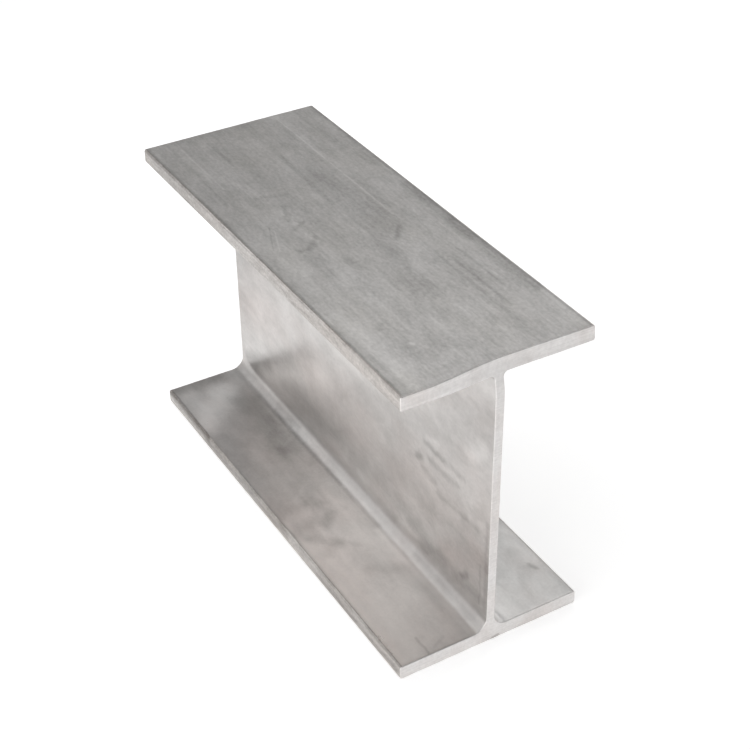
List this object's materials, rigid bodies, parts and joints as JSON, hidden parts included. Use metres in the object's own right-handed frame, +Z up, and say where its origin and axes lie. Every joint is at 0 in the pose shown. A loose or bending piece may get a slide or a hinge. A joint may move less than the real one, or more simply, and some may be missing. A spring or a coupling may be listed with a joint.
{
  "type": "stainless steel h beam",
  "caption": "Short sawn length of stainless steel H section with parallel flanges, a thin web, root fillets and a dull mill finish.",
  "frame": {"origin": "middle of the lower flange's underside, halfway along the length, on the floor that the piece rests on", "axes": "+X along the length towards the sawn end nearest the camera in the picture, +Y across the flanges away from the side seen in the picture, +Z up the web"},
  "size_m": [0.32, 0.125, 0.203],
  "materials": {
    "stainless_steel": "hot rolled, annealed and pickled; dull mill surface with lengthwise roll marks, paler sawn ends"
  },
  "bodies": {
    "root": {"h_beam": "stainless_steel"}
  },
  "joints": []
}
